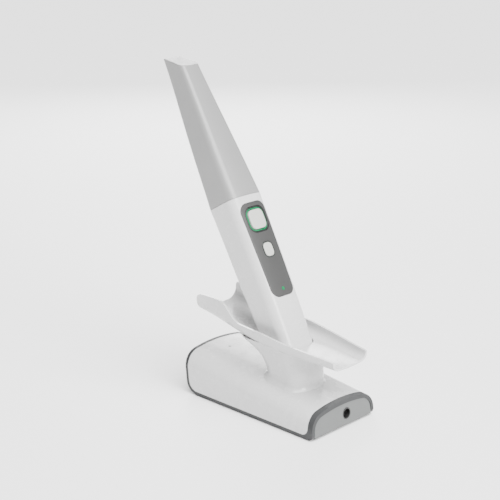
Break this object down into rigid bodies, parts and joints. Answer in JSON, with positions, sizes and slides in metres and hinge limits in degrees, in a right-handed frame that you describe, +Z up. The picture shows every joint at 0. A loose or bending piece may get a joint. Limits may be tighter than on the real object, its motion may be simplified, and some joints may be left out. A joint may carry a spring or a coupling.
{
  "type": "intraoral camera",
  "caption": "Cordless dental scanning camera with a removable mirror tip, leaning in a wedge-shaped charging cradle with an open-ended trough.",
  "frame": {"origin": "centre of the base's underside, on the grip pad", "axes": "+X along the base to the power inlet, +Z up; the handpiece leans towards -X"},
  "size_m": [0.2041, 0.0764, 0.2795],
  "materials": {
    "white_gloss": "gloss white moulded plastic",
    "silver_satin": "satin silver-grey coating",
    "panel_grey": "metallic grey inlay",
    "tray_grey": "dark grey moulded plastic",
    "end_grey": "light grey moulded plastic",
    "button_cream": "cream gloss keycap",
    "green_light": "lit green light guide",
    "clear_glass": "coated optical glass",
    "mirror": "front-surface mirror",
    "black_plastic": "black moulded plastic",
    "rubber_black": "soft black rubber",
    "aluminium": "machined aluminium",
    "steel": "zinc-plated steel",
    "gold_contact": "gold-plated contact",
    "board_green": "solder-masked circuit board",
    "chip_black": "moulded chip",
    "cell_wrap": "shrink-wrapped cell",
    "led_white": "white LED",
    "flex_amber": "flat flexible cable"
  },
  "bodies": {
    "base": {"base_cover": "white_gloss", "chassis_tray": "tray_grey", "grip_pad": "rubber_black", "right_end_cap": "end_grey", "power_inlet": "black_plastic", "inlet_pin": "steel", "charging_board": "board_green", "charger_chips": "chip_black", "cable_socket": "black_plastic", "charger_screws": "steel", "ballast_weight": "steel", "cover_screws": "steel", "cradle_screws": "steel", "indicator_light": "clear_glass", "indicator_board": "board_green", "cradle": "white_gloss", "contact_block": "black_plastic", "pin_barrels": "gold_contact", "contact_cable": "flex_amber"},
    "wand": {"body_shell": "white_gloss", "button_panel": "panel_grey", "light_ring": "green_light", "status_light": "green_light", "optics_nose": "black_plastic", "nose_seal": "rubber_black", "lens_barrel": "aluminium", "objective_lens": "clear_glass", "relay_lens": "clear_glass", "front_glass": "clear_glass", "led_board": "board_green", "illumination_leds": "led_white", "camera_board": "board_green", "image_sensor": "chip_black", "inner_frame": "aluminium", "main_board": "board_green", "board_chips": "chip_black", "tact_switches": "black_plastic", "board_screws": "steel", "antenna_board": "board_green", "battery_cells": "cell_wrap", "battery_tabs": "steel", "bottom_cap": "white_gloss", "charge_pads": "gold_contact", "cap_screws": "steel"},
    "tip": {"tip_sleeve": "silver_satin", "tip_mirror": "mirror"},
    "scan_key": {"scan_button": "button_cream"},
    "mode_key": {"mode_button": "button_cream"},
    "pin_left": {"charge_pin_left": "gold_contact"},
    "pin_right": {"charge_pin_right": "gold_contact"}
  },
  "joints": [
    {"name": "lift_out", "type": "slide", "parent": "base", "child": "wand", "axis": [-0.5, 0, 0.866], "range_m": [0, 0.06]},
    {"name": "tip_pull", "type": "slide", "parent": "wand", "child": "tip", "axis": [-0.5, 0, 0.866], "range_m": [0, 0.09]},
    {"name": "scan_press", "type": "slide", "parent": "wand", "child": "scan_key", "axis": [-0.866, 0, -0.5], "range_m": [0, 0.0006], "stiffness_N_per_m": 500, "springref_m": -0.001},
    {"name": "mode_press", "type": "slide", "parent": "wand", "child": "mode_key", "axis": [-0.866, 0, -0.5], "range_m": [0, 0.0005], "stiffness_N_per_m": 400, "springref_m": -0.001},
    {"name": "pin_left_press", "type": "slide", "parent": "base", "child": "pin_left", "axis": [0.5, 0, -0.866], "range_m": [0, 0.001], "stiffness_N_per_m": 250, "springref_m": -0.001},
    {"name": "pin_right_press", "type": "slide", "parent": "base", "child": "pin_right", "axis": [0.5, 0, -0.866], "range_m": [0, 0.001], "stiffness_N_per_m": 250, "springref_m": -0.001}
  ]
}
